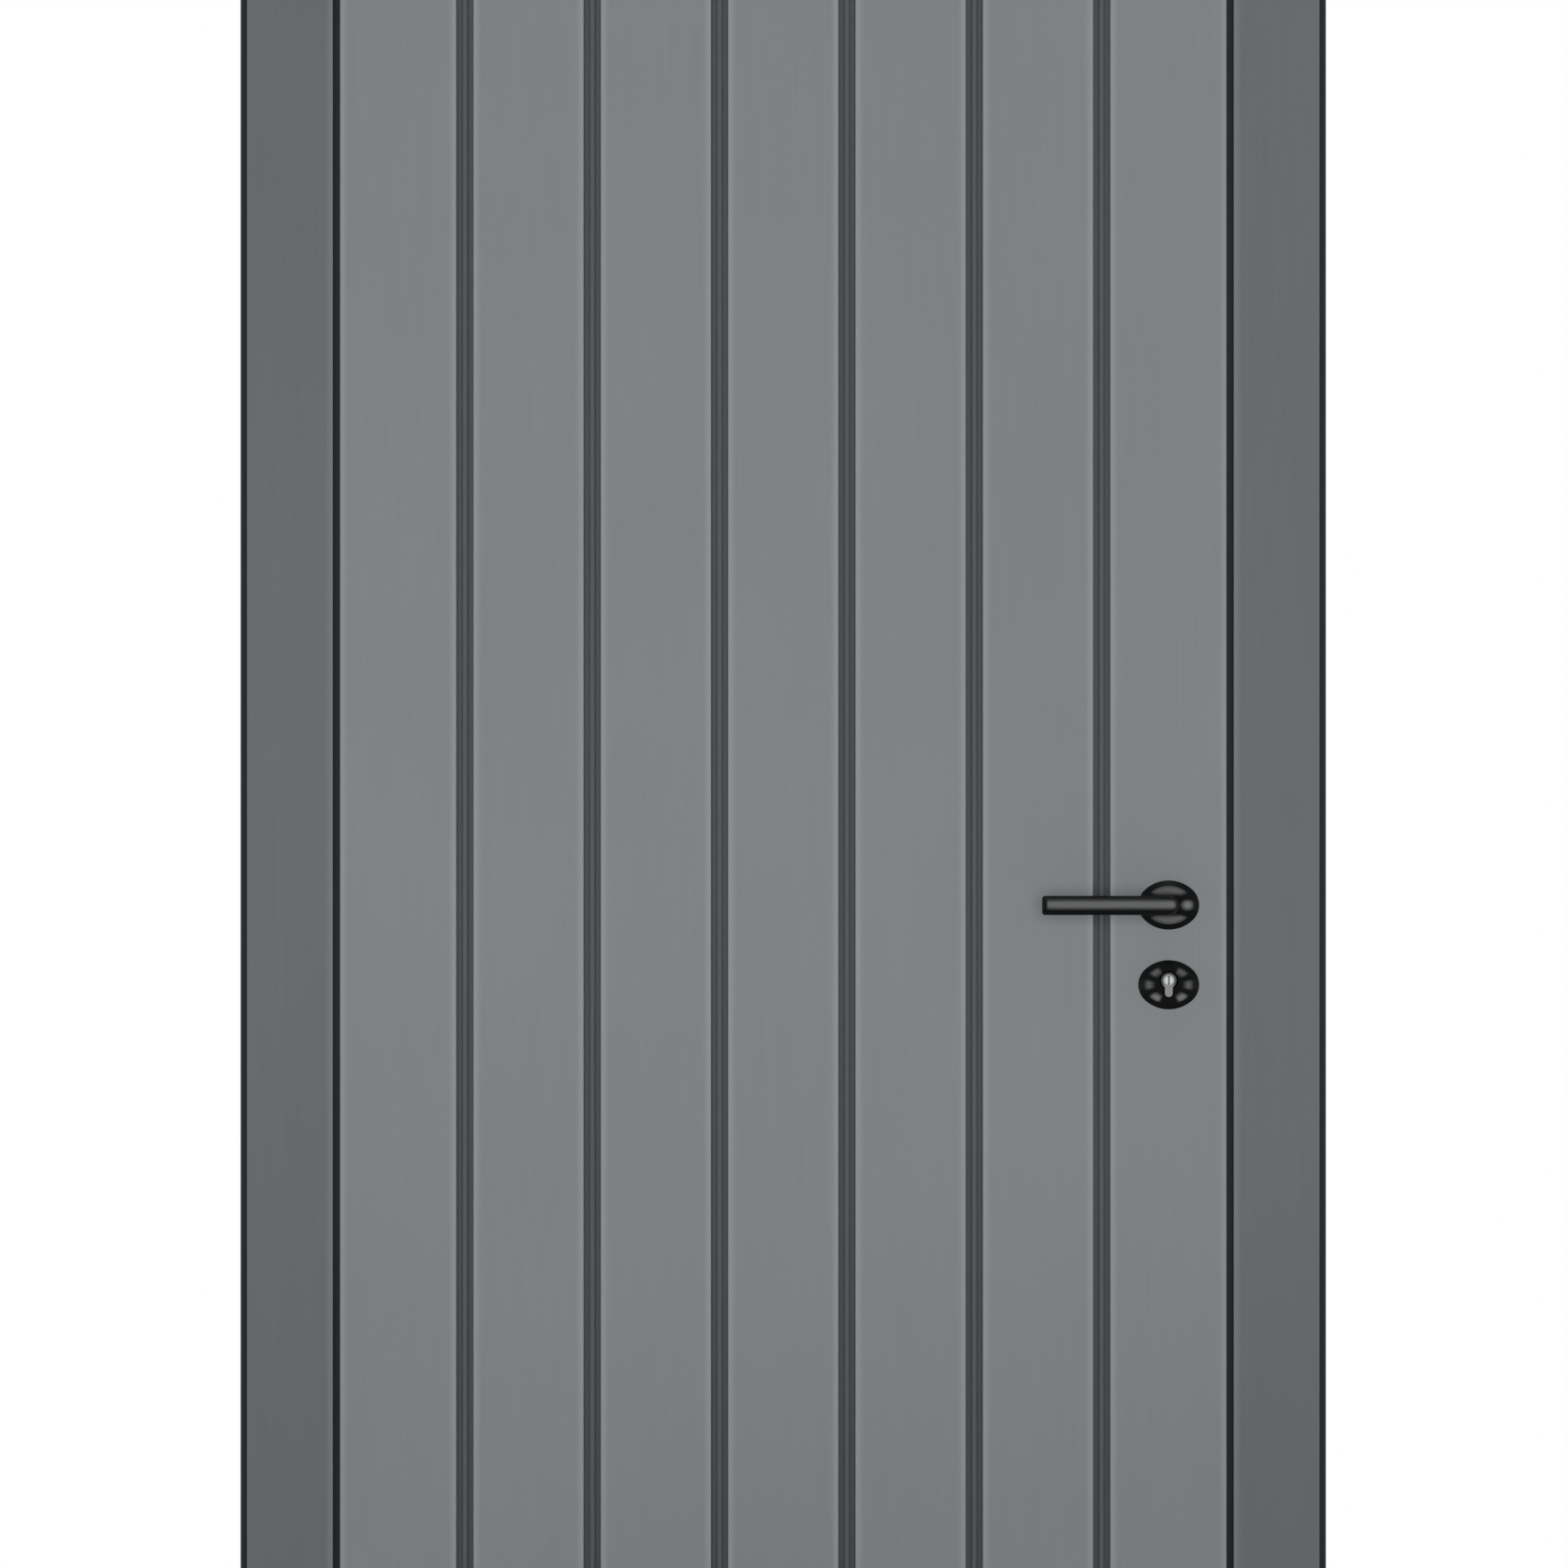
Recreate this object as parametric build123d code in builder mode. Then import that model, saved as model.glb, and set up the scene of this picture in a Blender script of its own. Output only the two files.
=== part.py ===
from build123d import *

import os
from math import atan2, degrees

# Front door seen from outside: a rebated frame with a sill, a leaf of upright boards on an
# insulated core, three barrel hinges on the inside and a lever set over a pear-section cylinder.
# Millimetres: +X to the right from outside, +Y into the house, +Z up. The origin is the middle of
# the sill's underside, halfway through the frame's depth.

# Frame: a full face outside, stepped back behind a lip that the leaf closes against
frame_width = 980.0
frame_height = 2080.0
frame_depth = 82.0
jamb_face = 83.25
rebate_step = 19.25
lip_depth = 14.0
frame_arris = 1.0
frame_round = 3.0
fixing_radius = 4.0
fixing_heights = (300.0, 700.0, 1400.0, 1800.0)

# Sill: a flat base with a raised outer rib that sheds water
sill_base = 8.0
sill_rib = 20.0
sill_rib_flat = 5.0
sill_rib_fall = 6.0
sill_edge = 2.0
tread_count = 5
tread_pitch = 9.0
tread_width = 2.0
tread_depth = 1.0

# Seal: a rubber ring on the back of the lip, which the leaf's core closes on
seal_inset = 1.0
seal_width = 9.0
seal_clearance = 0.5
seal_round = 2.0

# Leaf: outer boards, core and inner boards
lip_clearance = 6.5
rebate_clearance = 8.0
sill_clearance = 6.0
face_setback = 2.0
board_count = 7
end_board_width = 105.0
board_thickness = 18.0
board_arris = 1.0
groove_width = 15.5
strip_width = 5.0
strip_setback = 6.0
inner_board_thickness = 12.0
stile_width = 110.0
top_rail_height = 110.0
bottom_rail_height = 180.0

# Lever set: a bent round bar on each side, its neck turning in an oval rose
backset = 70.0
spindle_z = 1050.0
bar_radius = 8.65
bar_length = 115.0
bar_reach = 55.0
bar_bend = 13.0
bar_end_chamfer = 1.5
neck_play = 0.1
neck_gap = 1.0
spindle_size = 8.0
spindle_play = 0.1
socket_depth = 30.0
spindle_bore = 11.0

# Roses: oval plates, the lever's with a raised collar; outside, the plates narrow to their face and
# the key's opening is bevelled
rose_width = 55.0
rose_height = 44.5
rose_end_radius = 19.0
rose_depth = 5.0
rose_rim = 5.0
collar_radius = 11.5
collar_height = 1.5
opening_bevel = 1.5

# Lock: a pear-section cylinder through the leaf, a forend with two bolts and a strike plate
lock_centres = 72.0
barrel_radius = 7.0
stem_width = 7.0
pear_height = 22.0
cylinder_proud = 1.0
cylinder_play = 0.2
cylinder_bore_play = 1.0
keyway_width = 1.8
keyway_height = 8.0
keyway_depth = 20.0
forend_width = 20.0
forend_height = 235.0
forend_thickness = 3.0
forend_drop = 36.0
latch_width = 11.0
latch_height = 20.0
dead_bolt_width = 13.0
dead_bolt_height = 34.0
bolt_proud = 1.0
bolt_play = 0.3
strike_width = 26.0
strike_thickness = 3.0
strike_margin = 3.0
pocket_depth = 25.0
keep_margin = 18.0

# Hinges: interleaved knuckles, the frame's two solid and the leaf's turning on the pin between them
hinge_height = 120.0
hinge_from_bottom = 240.0
hinge_from_top = 220.0
knuckle_count = 3
knuckle_gap = 0.6
knuckle_radius = 9.0
knuckle_lift = 1.0
pin_radius = 5.0
pin_play = 0.05
flap_width = 41.0
flap_thickness = 3.0
flap_clearance = 1.0

# Planes and edges that several pieces share
outer_y = -frame_depth / 2
inner_y = frame_depth / 2
lip_back_y = outer_y + lip_depth
lip_x = frame_width / 2 - jamb_face
rebate_x = lip_x + rebate_step
lip_top = frame_height - jamb_face
rebate_top = lip_top + rebate_step

leaf_face_y = outer_y + face_setback
core_front_y = leaf_face_y + board_thickness
core_back_y = inner_y - inner_board_thickness
core_thickness = core_back_y - core_front_y
core_x = rebate_x - rebate_clearance
core_bottom = sill_base + sill_clearance
core_top = rebate_top - rebate_clearance
board_x = lip_x - lip_clearance
board_bottom = sill_rib + lip_clearance
board_top = lip_top - lip_clearance

end_groove_x = board_x - end_board_width - groove_width / 2
board_pitch = 2 * end_groove_x / (board_count - 2)
groove_places = [i * board_pitch - end_groove_x for i in range(board_count - 1)]
spindle_x = core_x - backset
key_z = spindle_z - lock_centres
lock_y = (core_front_y + core_back_y) / 2
pin_x = -(rebate_x + core_x) / 2
pin_y = inner_y + knuckle_radius + knuckle_lift
hinge_places = (
    core_bottom + hinge_from_bottom,
    (core_bottom + hinge_from_bottom + core_top - hinge_from_top) / 2,
    core_top - hinge_from_top,
)

# Faces of the leaf at the lever and at the cylinder, each looking out of the leaf: the lever's with
# local X towards the hinges, the cylinder's with local Y up
lever_faces = {
    "outside": Plane(origin=(spindle_x, leaf_face_y, spindle_z), x_dir=(-1, 0, 0), z_dir=(0, -1, 0)),
    "inside": Plane(origin=(spindle_x, inner_y, spindle_z), x_dir=(-1, 0, 0), z_dir=(0, 1, 0)),
}
key_faces = {
    "outside": Plane(origin=(spindle_x, leaf_face_y, key_z), x_dir=(1, 0, 0), z_dir=(0, -1, 0)),
    "inside": Plane(origin=(spindle_x, inner_y, key_z), x_dir=(-1, 0, 0), z_dir=(0, 1, 0)),
}
forend_z = spindle_z - forend_drop
forend_face = Plane(origin=(core_x, lock_y, forend_z), x_dir=(0, 1, 0), z_dir=(1, 0, 0))
strike_face = Plane(origin=(rebate_x, lock_y, forend_z), x_dir=(0, -1, 0), z_dir=(-1, 0, 0))
latch_place = (0, forend_drop)
dead_bolt_place = (0, forend_drop - lock_centres)

os.makedirs("parts", exist_ok=True)


def save(piece, name):
    """Label a finished piece and write it under its own name."""
    piece.part.label = name
    export_step(piece.part, f"parts/{name}.step")


def frame_section(back, lip, rebate):
    """Corners (across, depth) of the frame section, from its back to its lip edge."""
    arris = frame_arris if back > lip else -frame_arris
    return [
        (back, outer_y),
        (lip + arris, outer_y),
        (lip, outer_y + frame_arris),
        (lip, lip_back_y),
        (rebate, lip_back_y),
        (rebate, inner_y),
        (back, inner_y),
    ]


def mitre_plane(side):
    """The 45 degree plane of a top corner, its upper side towards the jamb."""
    return Plane(origin=(side * frame_width / 2, 0, frame_height), z_dir=(side, 0, -1))


def pear(plane, grow):
    """The lock cylinder's section on a plane: a round barrel over a narrow stem, grown all round."""
    barrel_y = pear_height / 2 - barrel_radius
    stem_y = -(pear_height / 2 - stem_width / 2)
    with BuildSketch(plane) as outline:
        with Locations((0, barrel_y)):
            Circle(barrel_radius + grow)
        with Locations((0, (barrel_y + stem_y) / 2)):
            Rectangle(stem_width + 2 * grow, barrel_y - stem_y)
        with Locations((0, stem_y)):
            Circle(stem_width / 2 + grow)
    return outline.sketch


def bolt_outlines(plane, play):
    """The latch and the dead bolt seen end on, grown by a play."""
    with BuildSketch(plane) as outline:
        with Locations(latch_place):
            Rectangle(latch_width + 2 * play, latch_height + 2 * play)
        with Locations(dead_bolt_place):
            Rectangle(dead_bolt_width + 2 * play, dead_bolt_height + 2 * play)
    return outline.sketch


# Cutter for the spindle's bore and the cylinder's slot, right through the leaf
with BuildPart() as lock_bores:
    with BuildSketch(lever_faces["outside"]):
        Circle(spindle_bore)
    with BuildSketch(key_faces["outside"]):
        Rectangle(2 * (barrel_radius + cylinder_bore_play), pear_height + 2 * cylinder_bore_play)
    extrude(amount=-frame_depth)


# Frame
def rebated_jamb(side):
    """A jamb on side -1 or 1: the frame section to full height, mitred at the top, with its fixings."""
    fixing_y = (lip_back_y + inner_y) / 2
    with BuildPart() as jamb:
        with BuildSketch(Plane.XY) as section:
            with BuildLine():
                Polyline(*frame_section(side * frame_width / 2, side * lip_x, side * rebate_x), close=True)
            make_face()
            outer_corner = section.vertices().sort_by(Axis.Y)[:2].sort_by(Axis.X)[-1 if side > 0 else 0]
            fillet(outer_corner, frame_round)
        extrude(amount=frame_height)
        split(bisect_by=mitre_plane(side), keep=Keep.TOP)
        for height in fixing_heights:
            with Locations(Plane(origin=(side * rebate_x, fixing_y, height), z_dir=(-side, 0, 0))):
                Hole(fixing_radius)
    return jamb


save(rebated_jamb(-1), "jamb_hinge_side")

with BuildPart() as lock_jamb:
    add(rebated_jamb(1).part)
    with BuildSketch(strike_face):
        Rectangle(strike_width, forend_height)
    extrude(amount=-strike_thickness, mode=Mode.SUBTRACT)
    extrude(bolt_outlines(strike_face, strike_margin), amount=-pocket_depth, mode=Mode.SUBTRACT)

# The lock jamb is kept as three lengths, the middle one round the strike plate
keep_low = forend_z - forend_height / 2 - keep_margin
keep_high = forend_z + forend_height / 2 + keep_margin
for place, low, high in (
    ("lower", 0, keep_low),
    ("middle", keep_low, keep_high),
    ("upper", keep_high, frame_height),
):
    with BuildPart() as jamb_length:
        add(lock_jamb.part)
        with BuildSketch(Plane.XY.offset(low)):
            Rectangle(2 * frame_width, 2 * frame_depth)
        extrude(amount=high - low, mode=Mode.INTERSECT)
    save(jamb_length, f"jamb_lock_side_{place}")

with BuildPart() as frame_head:
    with BuildSketch(Plane.YZ) as section:
        with BuildLine():
            Polyline(*[(y, z) for z, y in frame_section(frame_height, lip_top, rebate_top)], close=True)
        make_face()
        outer_corner = section.vertices().sort_by(Axis.X)[:2].sort_by(Axis.Y)[-1]
        fillet(outer_corner, frame_round)
    extrude(amount=frame_width / 2, both=True)
    for side in (-1, 1):
        split(bisect_by=mitre_plane(side), keep=Keep.BOTTOM)
save(frame_head, "frame_head")

with BuildPart() as threshold:
    with BuildSketch(Plane.YZ):
        with BuildLine():
            Polyline(
                (outer_y, 0),
                (inner_y, 0),
                (inner_y, sill_base - sill_edge),
                (inner_y - sill_edge, sill_base),
                (lip_back_y, sill_base),
                (lip_back_y, sill_rib),
                (lip_back_y - sill_rib_flat, sill_rib),
                (outer_y, sill_rib - sill_rib_fall),
                close=True,
            )
        make_face()
    extrude(amount=rebate_x, both=True)
    for side in (-1, 1):
        with BuildSketch(Plane.XY):
            with Locations((side * (lip_x + rebate_x) / 2, (outer_y + lip_back_y) / 2)):
                Rectangle(rebate_step, lip_depth)
        extrude(amount=sill_rib, mode=Mode.SUBTRACT)
    with BuildSketch(Plane.XY.offset(sill_base)):
        with Locations((0, (lip_back_y + inner_y) / 2)):
            with GridLocations(0, tread_pitch, 1, tread_count):
                Rectangle(2 * rebate_x, tread_width)
    extrude(amount=-tread_depth, mode=Mode.SUBTRACT)
save(threshold, "threshold")

with BuildPart() as frame_gasket:
    seal_x = lip_x + seal_inset
    seal_bottom = sill_rib - seal_inset
    seal_top = lip_top + seal_inset
    seal_middle = (0, lip_back_y, (seal_bottom + seal_top) / 2)
    with BuildSketch(Plane(origin=seal_middle, x_dir=(-1, 0, 0), z_dir=(0, 1, 0))):
        Rectangle(2 * (seal_x + seal_width), seal_top - seal_bottom + 2 * seal_width)
        Rectangle(2 * seal_x, seal_top - seal_bottom, mode=Mode.SUBTRACT)
    extrude(amount=core_front_y - seal_clearance - lip_back_y)
    fillet(frame_gasket.faces().sort_by(Axis.Y)[-1].edges(), seal_round)
save(frame_gasket, "frame_gasket")

with BuildPart() as strike_plate:
    with BuildSketch(strike_face):
        Rectangle(strike_width, forend_height)
    extrude(amount=-strike_thickness)
    extrude(bolt_outlines(strike_face, strike_margin), amount=-strike_thickness, mode=Mode.SUBTRACT)
save(strike_plate, "strike_plate")


# Leaf: boards
def board_spans(half_width):
    """Left and right edge of each board across a leaf face of the given half width."""
    lefts = [-half_width] + [x + groove_width / 2 for x in groove_places]
    rights = [x - groove_width / 2 for x in groove_places] + [half_width]
    return list(zip(lefts, rights))


for number, (left, right) in enumerate(board_spans(board_x), start=1):
    with BuildPart() as outer_board:
        with BuildSketch(Plane.XY.offset(board_bottom)) as plan:
            with Locations(((left + right) / 2, (leaf_face_y + core_front_y) / 2)):
                Rectangle(right - left, board_thickness)
            chamfer(plan.vertices().group_by(Axis.Y)[0], board_arris)
        extrude(amount=board_top - board_bottom)
        if left < spindle_x < right:
            add(lock_bores.part, mode=Mode.SUBTRACT)
    save(outer_board, f"outer_board_{number}")

with BuildPart() as groove_strips:
    strip_depth = board_thickness - strip_setback
    with BuildSketch(Plane.XY.offset(board_bottom)) as plan:
        with Locations([(x, core_front_y - strip_depth / 2) for x in groove_places]):
            Rectangle(strip_width, strip_depth)
        chamfer(plan.vertices().group_by(Axis.Y)[0], board_arris)
    extrude(amount=board_top - board_bottom)
save(groove_strips, "groove_strips")

with BuildPart() as inner_boards:
    with BuildSketch(Plane.XY.offset(core_bottom)) as plan:
        for left, right in board_spans(core_x):
            with Locations(((left + right) / 2, (core_back_y + inner_y) / 2)):
                Rectangle(right - left, inner_board_thickness)
        chamfer(plan.vertices().group_by(Axis.Y)[-1], board_arris)
    extrude(amount=core_top - core_bottom)
    add(lock_bores.part, mode=Mode.SUBTRACT)
save(inner_boards, "inner_boards")

# Leaf: core
for name, side in (("stile_hinge_side", -1), ("stile_lock_side", 1)):
    with BuildPart() as stile:
        with BuildSketch(Plane.XY.offset(core_bottom)):
            with Locations((side * (core_x - stile_width / 2), lock_y)):
                Rectangle(stile_width, core_thickness)
        extrude(amount=core_top - core_bottom)
        if name == "stile_lock_side":
            add(lock_bores.part, mode=Mode.SUBTRACT)
            with BuildSketch(forend_face):
                Rectangle(forend_width, forend_height)
            extrude(amount=-forend_thickness, mode=Mode.SUBTRACT)
    save(stile, name)

panel_bottom = core_bottom + bottom_rail_height
panel_top = core_top - top_rail_height
for name, low, high in (
    ("bottom_rail", core_bottom, panel_bottom),
    ("leaf_panel", panel_bottom, panel_top),
    ("top_rail", panel_top, core_top),
):
    with BuildPart() as infill:
        with BuildSketch(Plane.XY.offset(low)):
            with Locations((0, lock_y)):
                Rectangle(2 * (core_x - stile_width), core_thickness)
        extrude(amount=high - low)
    save(infill, name)


# Lock
with BuildPart() as lock_forend:
    with BuildSketch(forend_face):
        Rectangle(forend_width, forend_height)
    extrude(amount=-forend_thickness)
    extrude(bolt_outlines(forend_face, bolt_play), amount=-forend_thickness, mode=Mode.SUBTRACT)
save(lock_forend, "lock_forend")

for name, place, width, height in (
    ("latch_bolt", latch_place, latch_width, latch_height),
    ("dead_bolt", dead_bolt_place, dead_bolt_width, dead_bolt_height),
):
    with BuildPart() as bolt:
        with BuildSketch(forend_face.offset(-forend_thickness)):
            with Locations(place):
                Rectangle(width, height)
        extrude(amount=forend_thickness + bolt_proud)
    save(bolt, name)

with BuildPart() as lock_cylinder:
    extrude(pear(key_faces["outside"], 0), amount=rose_depth + cylinder_proud)
    extrude(pear(key_faces["outside"], 0), amount=leaf_face_y - inner_y - rose_depth - cylinder_proud)
    for face in key_faces.values():
        with BuildSketch(face.offset(rose_depth + cylinder_proud)):
            with Locations((0, pear_height / 2 - barrel_radius)):
                Rectangle(keyway_width, keyway_height)
        extrude(amount=-keyway_depth, mode=Mode.SUBTRACT)
save(lock_cylinder, "lock_cylinder")


# Roses
def oval_plate(face, rim):
    """An oval rose of four tangent arcs on a face of the leaf, which narrows by a rim to its front."""
    end_x = rose_width / 2 - rose_end_radius
    rise = rose_height / 2 - rose_end_radius
    side_y = (end_x**2 - rise**2) / (2 * rise)
    side_radius = rose_height / 2 + side_y
    turn = degrees(atan2(side_y, end_x))
    with BuildPart() as plate:
        with BuildSketch(face):
            with BuildLine():
                for sign, start in ((1, 0), (-1, 180)):
                    CenterArc((sign * end_x, 0), rose_end_radius, start - turn, 2 * turn)
                    CenterArc((0, -sign * side_y), side_radius, start + turn, 180 - 2 * turn)
            make_face()
        extrude(amount=rose_depth, taper=degrees(atan2(rim, rose_depth)))
    return plate.part


for place, rim in (("outside", rose_rim), ("inside", 0)):
    with BuildPart() as lever_rose:
        add(oval_plate(lever_faces[place], rim))
        with BuildSketch(lever_faces[place]):
            Circle(collar_radius)
        extrude(amount=rose_depth + collar_height)
        with BuildSketch(lever_faces[place]):
            Circle(bar_radius + neck_play)
        extrude(amount=rose_depth + collar_height, mode=Mode.SUBTRACT)
    save(lever_rose, f"lever_rose_{place}")

    with BuildPart() as key_rose:
        add(oval_plate(key_faces[place], rim))
        extrude(pear(key_faces[place], cylinder_play), amount=rose_depth, mode=Mode.SUBTRACT)
        if place == "outside":
            front = key_rose.faces().sort_by(Axis.Y)[0]
            chamfer(front.inner_wires()[0].edges(), opening_bevel)
    save(key_rose, f"key_rose_{place}")


# Lever set: each bar leaves its rose square to the leaf and bends towards the hinge side
for place, up in (("outside", 1), ("inside", -1)):
    face = lever_faces[place]
    with BuildPart() as lever:
        with BuildLine(Plane(origin=face.origin, x_dir=face.x_dir, z_dir=(0, 0, up))):
            FilletPolyline((0, neck_gap), (0, bar_reach), (bar_length, bar_reach), radius=bar_bend)
        with BuildSketch(face.offset(neck_gap)):
            Circle(bar_radius)
        sweep()
        chamfer(lever.faces().sort_by(Axis.X)[0].edges(), bar_end_chamfer)
        with BuildSketch(face.offset(neck_gap)):
            Rectangle(spindle_size + 2 * spindle_play, spindle_size + 2 * spindle_play)
        extrude(amount=socket_depth, mode=Mode.SUBTRACT)
    save(lever, f"lever_{place}")

with BuildPart() as lever_spindle:
    spindle_end = neck_gap + socket_depth
    with BuildSketch(lever_faces["outside"].offset(spindle_end)):
        Rectangle(spindle_size, spindle_size)
    extrude(amount=leaf_face_y - inner_y - 2 * spindle_end)
save(lever_spindle, "lever_spindle")


# Hinges
knuckle_length = (hinge_height - (knuckle_count - 1) * knuckle_gap) / knuckle_count
knuckle_places = [
    (k - (knuckle_count - 1) / 2) * (knuckle_length + knuckle_gap) for k in range(knuckle_count)
]


def make_flap(height, side, places):
    """Half a hinge at a height: a flat flap on side -1 or 1 of the pin, with knuckles at its places."""
    root = knuckle_radius + flap_clearance
    with BuildPart() as flap:
        flap_face = Plane(origin=(pin_x, inner_y, height), x_dir=(-1, 0, 0), z_dir=(0, 1, 0))
        with BuildSketch(flap_face):
            with Locations((-side * (root + flap_width) / 2, 0)):
                Rectangle(flap_width - root, hinge_height)
            with Locations([(-side * root / 2, place) for place in places]):
                Rectangle(root, knuckle_length)
        extrude(amount=flap_thickness)
        for place in places:
            with BuildSketch(Plane.XY.offset(height + place - knuckle_length / 2)):
                with Locations((pin_x, pin_y)):
                    Circle(knuckle_radius)
            extrude(amount=knuckle_length)
    return flap


for number, height in enumerate(hinge_places, start=1):
    save(make_flap(height, -1, knuckle_places[0::2]), f"hinge_{number}_frame_flap")

    with BuildPart() as leaf_flap:
        add(make_flap(height, 1, knuckle_places[1::2]).part)
        with BuildSketch(Plane.XY.offset(height - knuckle_length / 2)):
            with Locations((pin_x, pin_y)):
                Circle(pin_radius + pin_play)
        extrude(amount=knuckle_length, mode=Mode.SUBTRACT)
    save(leaf_flap, f"hinge_{number}_leaf_flap")

    with BuildPart() as hinge_pin:
        pin_length = knuckle_length + 2 * knuckle_gap
        with BuildSketch(Plane.XY.offset(height - pin_length / 2)):
            with Locations((pin_x, pin_y)):
                Circle(pin_radius)
        extrude(amount=pin_length)
    save(hinge_pin, f"hinge_{number}_pin")
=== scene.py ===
from math import pi, radians

import bmesh
import bpy
from mathutils import Matrix, Vector


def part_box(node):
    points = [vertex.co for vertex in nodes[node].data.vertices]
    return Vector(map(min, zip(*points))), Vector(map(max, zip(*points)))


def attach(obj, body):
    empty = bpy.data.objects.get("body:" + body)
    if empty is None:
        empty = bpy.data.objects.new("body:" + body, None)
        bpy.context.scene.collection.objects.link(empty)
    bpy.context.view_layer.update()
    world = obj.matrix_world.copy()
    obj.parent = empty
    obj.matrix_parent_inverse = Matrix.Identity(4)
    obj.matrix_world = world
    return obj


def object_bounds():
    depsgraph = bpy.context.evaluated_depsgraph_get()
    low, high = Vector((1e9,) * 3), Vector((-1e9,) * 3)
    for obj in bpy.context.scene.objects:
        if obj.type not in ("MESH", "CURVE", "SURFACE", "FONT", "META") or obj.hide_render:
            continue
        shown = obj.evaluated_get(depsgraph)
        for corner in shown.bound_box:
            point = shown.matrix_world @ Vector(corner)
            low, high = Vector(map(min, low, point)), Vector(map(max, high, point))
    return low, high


# Front door: the finish of every surface, the small fixings, the light and the camera.
# Metres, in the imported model's own frame: +X to the right from outside, +Y into the house, +Z up.

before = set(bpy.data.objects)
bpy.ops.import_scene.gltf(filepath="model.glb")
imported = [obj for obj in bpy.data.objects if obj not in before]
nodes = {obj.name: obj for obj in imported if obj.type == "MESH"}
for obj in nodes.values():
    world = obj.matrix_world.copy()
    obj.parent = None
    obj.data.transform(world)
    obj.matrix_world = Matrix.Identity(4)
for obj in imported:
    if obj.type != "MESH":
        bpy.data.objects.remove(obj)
cad_low, cad_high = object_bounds()
mm = 0.001

# The photograph, in its own pixels: the frame's outer edges from the left, and the lever's axis from
# the top
image_side = 1676
photo_frame_left = 257.0
photo_frame_right = 1417.4
photo_lever_height = 967.4

# The camera stands far off with a long lens, because the photograph is a straight elevation
lens = 400.0
sensor = 36.0

# Light: a soft front and back, weaker sides and top, in an even room. The front and the back lamp
# stay out of reflections, where the white room is enough and a mirrored lamp would hide a polished
# face. The floor glows for the camera by what the light on it lacks of a pale floor.
room_level = 0.22
front_level = 0.62
side_level = 0.3
top_level = 0.4
lamp_softness = radians(25)
floor_level = 0.35
floor_radius = 5.0
floor_sides = 96
floor_speck = 25 * mm


def linear(hex_colour):
    """An sRGB hex colour as linear red, green and blue with an alpha of 1."""
    channels = [int(hex_colour[i:i + 2], 16) / 255 for i in (1, 3, 5)]
    return [c / 12.92 if c <= 0.04045 else ((c + 0.055) / 1.055) ** 2.4 for c in channels] + [1.0]


def add_node(tree, kind, inputs=None, **settings):
    """A node with its settings; each input is given a value, or the socket that it is linked from."""
    node = tree.nodes.new(kind)
    for name, value in settings.items():
        setattr(node, name, value)
    for name, value in (inputs or {}).items():
        if isinstance(value, bpy.types.NodeSocket):
            tree.links.new(value, node.inputs[name])
        else:
            node.inputs[name].default_value = value
    return node


# Sockets of a Mix node that mixes colours
mix_dark, mix_light, mix_result = 6, 7, 2


def start_material(name, shader_values):
    """A material with one Principled shader, and the piece's own coordinates in metres."""
    material = bpy.data.materials.new(name)
    material.use_nodes = True
    tree = material.node_tree
    tree.nodes.clear()
    shader = add_node(tree, "ShaderNodeBsdfPrincipled", shader_values)
    add_node(tree, "ShaderNodeOutputMaterial", {"Surface": shader.outputs["BSDF"]})
    place = add_node(tree, "ShaderNodeTexCoord").outputs["Object"]
    return material, tree, shader, place


def share_of(tree, factors):
    """The product of soft steps, each of a value between where it begins and where it is full."""
    product = 1.0
    for value, (begins, full) in factors:
        step = add_node(
            tree, "ShaderNodeMapRange", {"Value": value, "From Min": begins, "From Max": full},
            interpolation_type="SMOOTHSTEP",
        ).outputs["Result"]
        product = add_node(tree, "ShaderNodeMath", {0: step, 1: product}, operation="MULTIPLY").outputs[0]
    return product


def off_middle(tree, place):
    """How far a point lies to the left or the right of the door's middle, in metres."""
    x = add_node(tree, "ShaderNodeSeparateXYZ", {"Vector": place}).outputs["X"]
    return add_node(tree, "ShaderNodeMath", {0: x}, operation="ABSOLUTE").outputs[0]


# Measures that the finishes follow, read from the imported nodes
board_1_low, board_1_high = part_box("outer_board_1")
board_2_low, board_2_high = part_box("outer_board_2")
board_names = [name for name in nodes if name.startswith("outer_board_")]
board_half_width = -board_1_low.x
groove_width = board_2_low.x - board_1_high.x
board_pitch = board_2_high.x - board_2_low.x + groove_width
last_groove = len(board_names) // 2 - 1
jamb_low, jamb_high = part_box("jamb_hinge_side")
core_low, core_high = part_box("leaf_panel")
rose_low, rose_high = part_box("lever_rose_outside")
key_rose_low, key_rose_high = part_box("key_rose_outside")
cylinder_low, cylinder_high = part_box("lock_cylinder")


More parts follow.
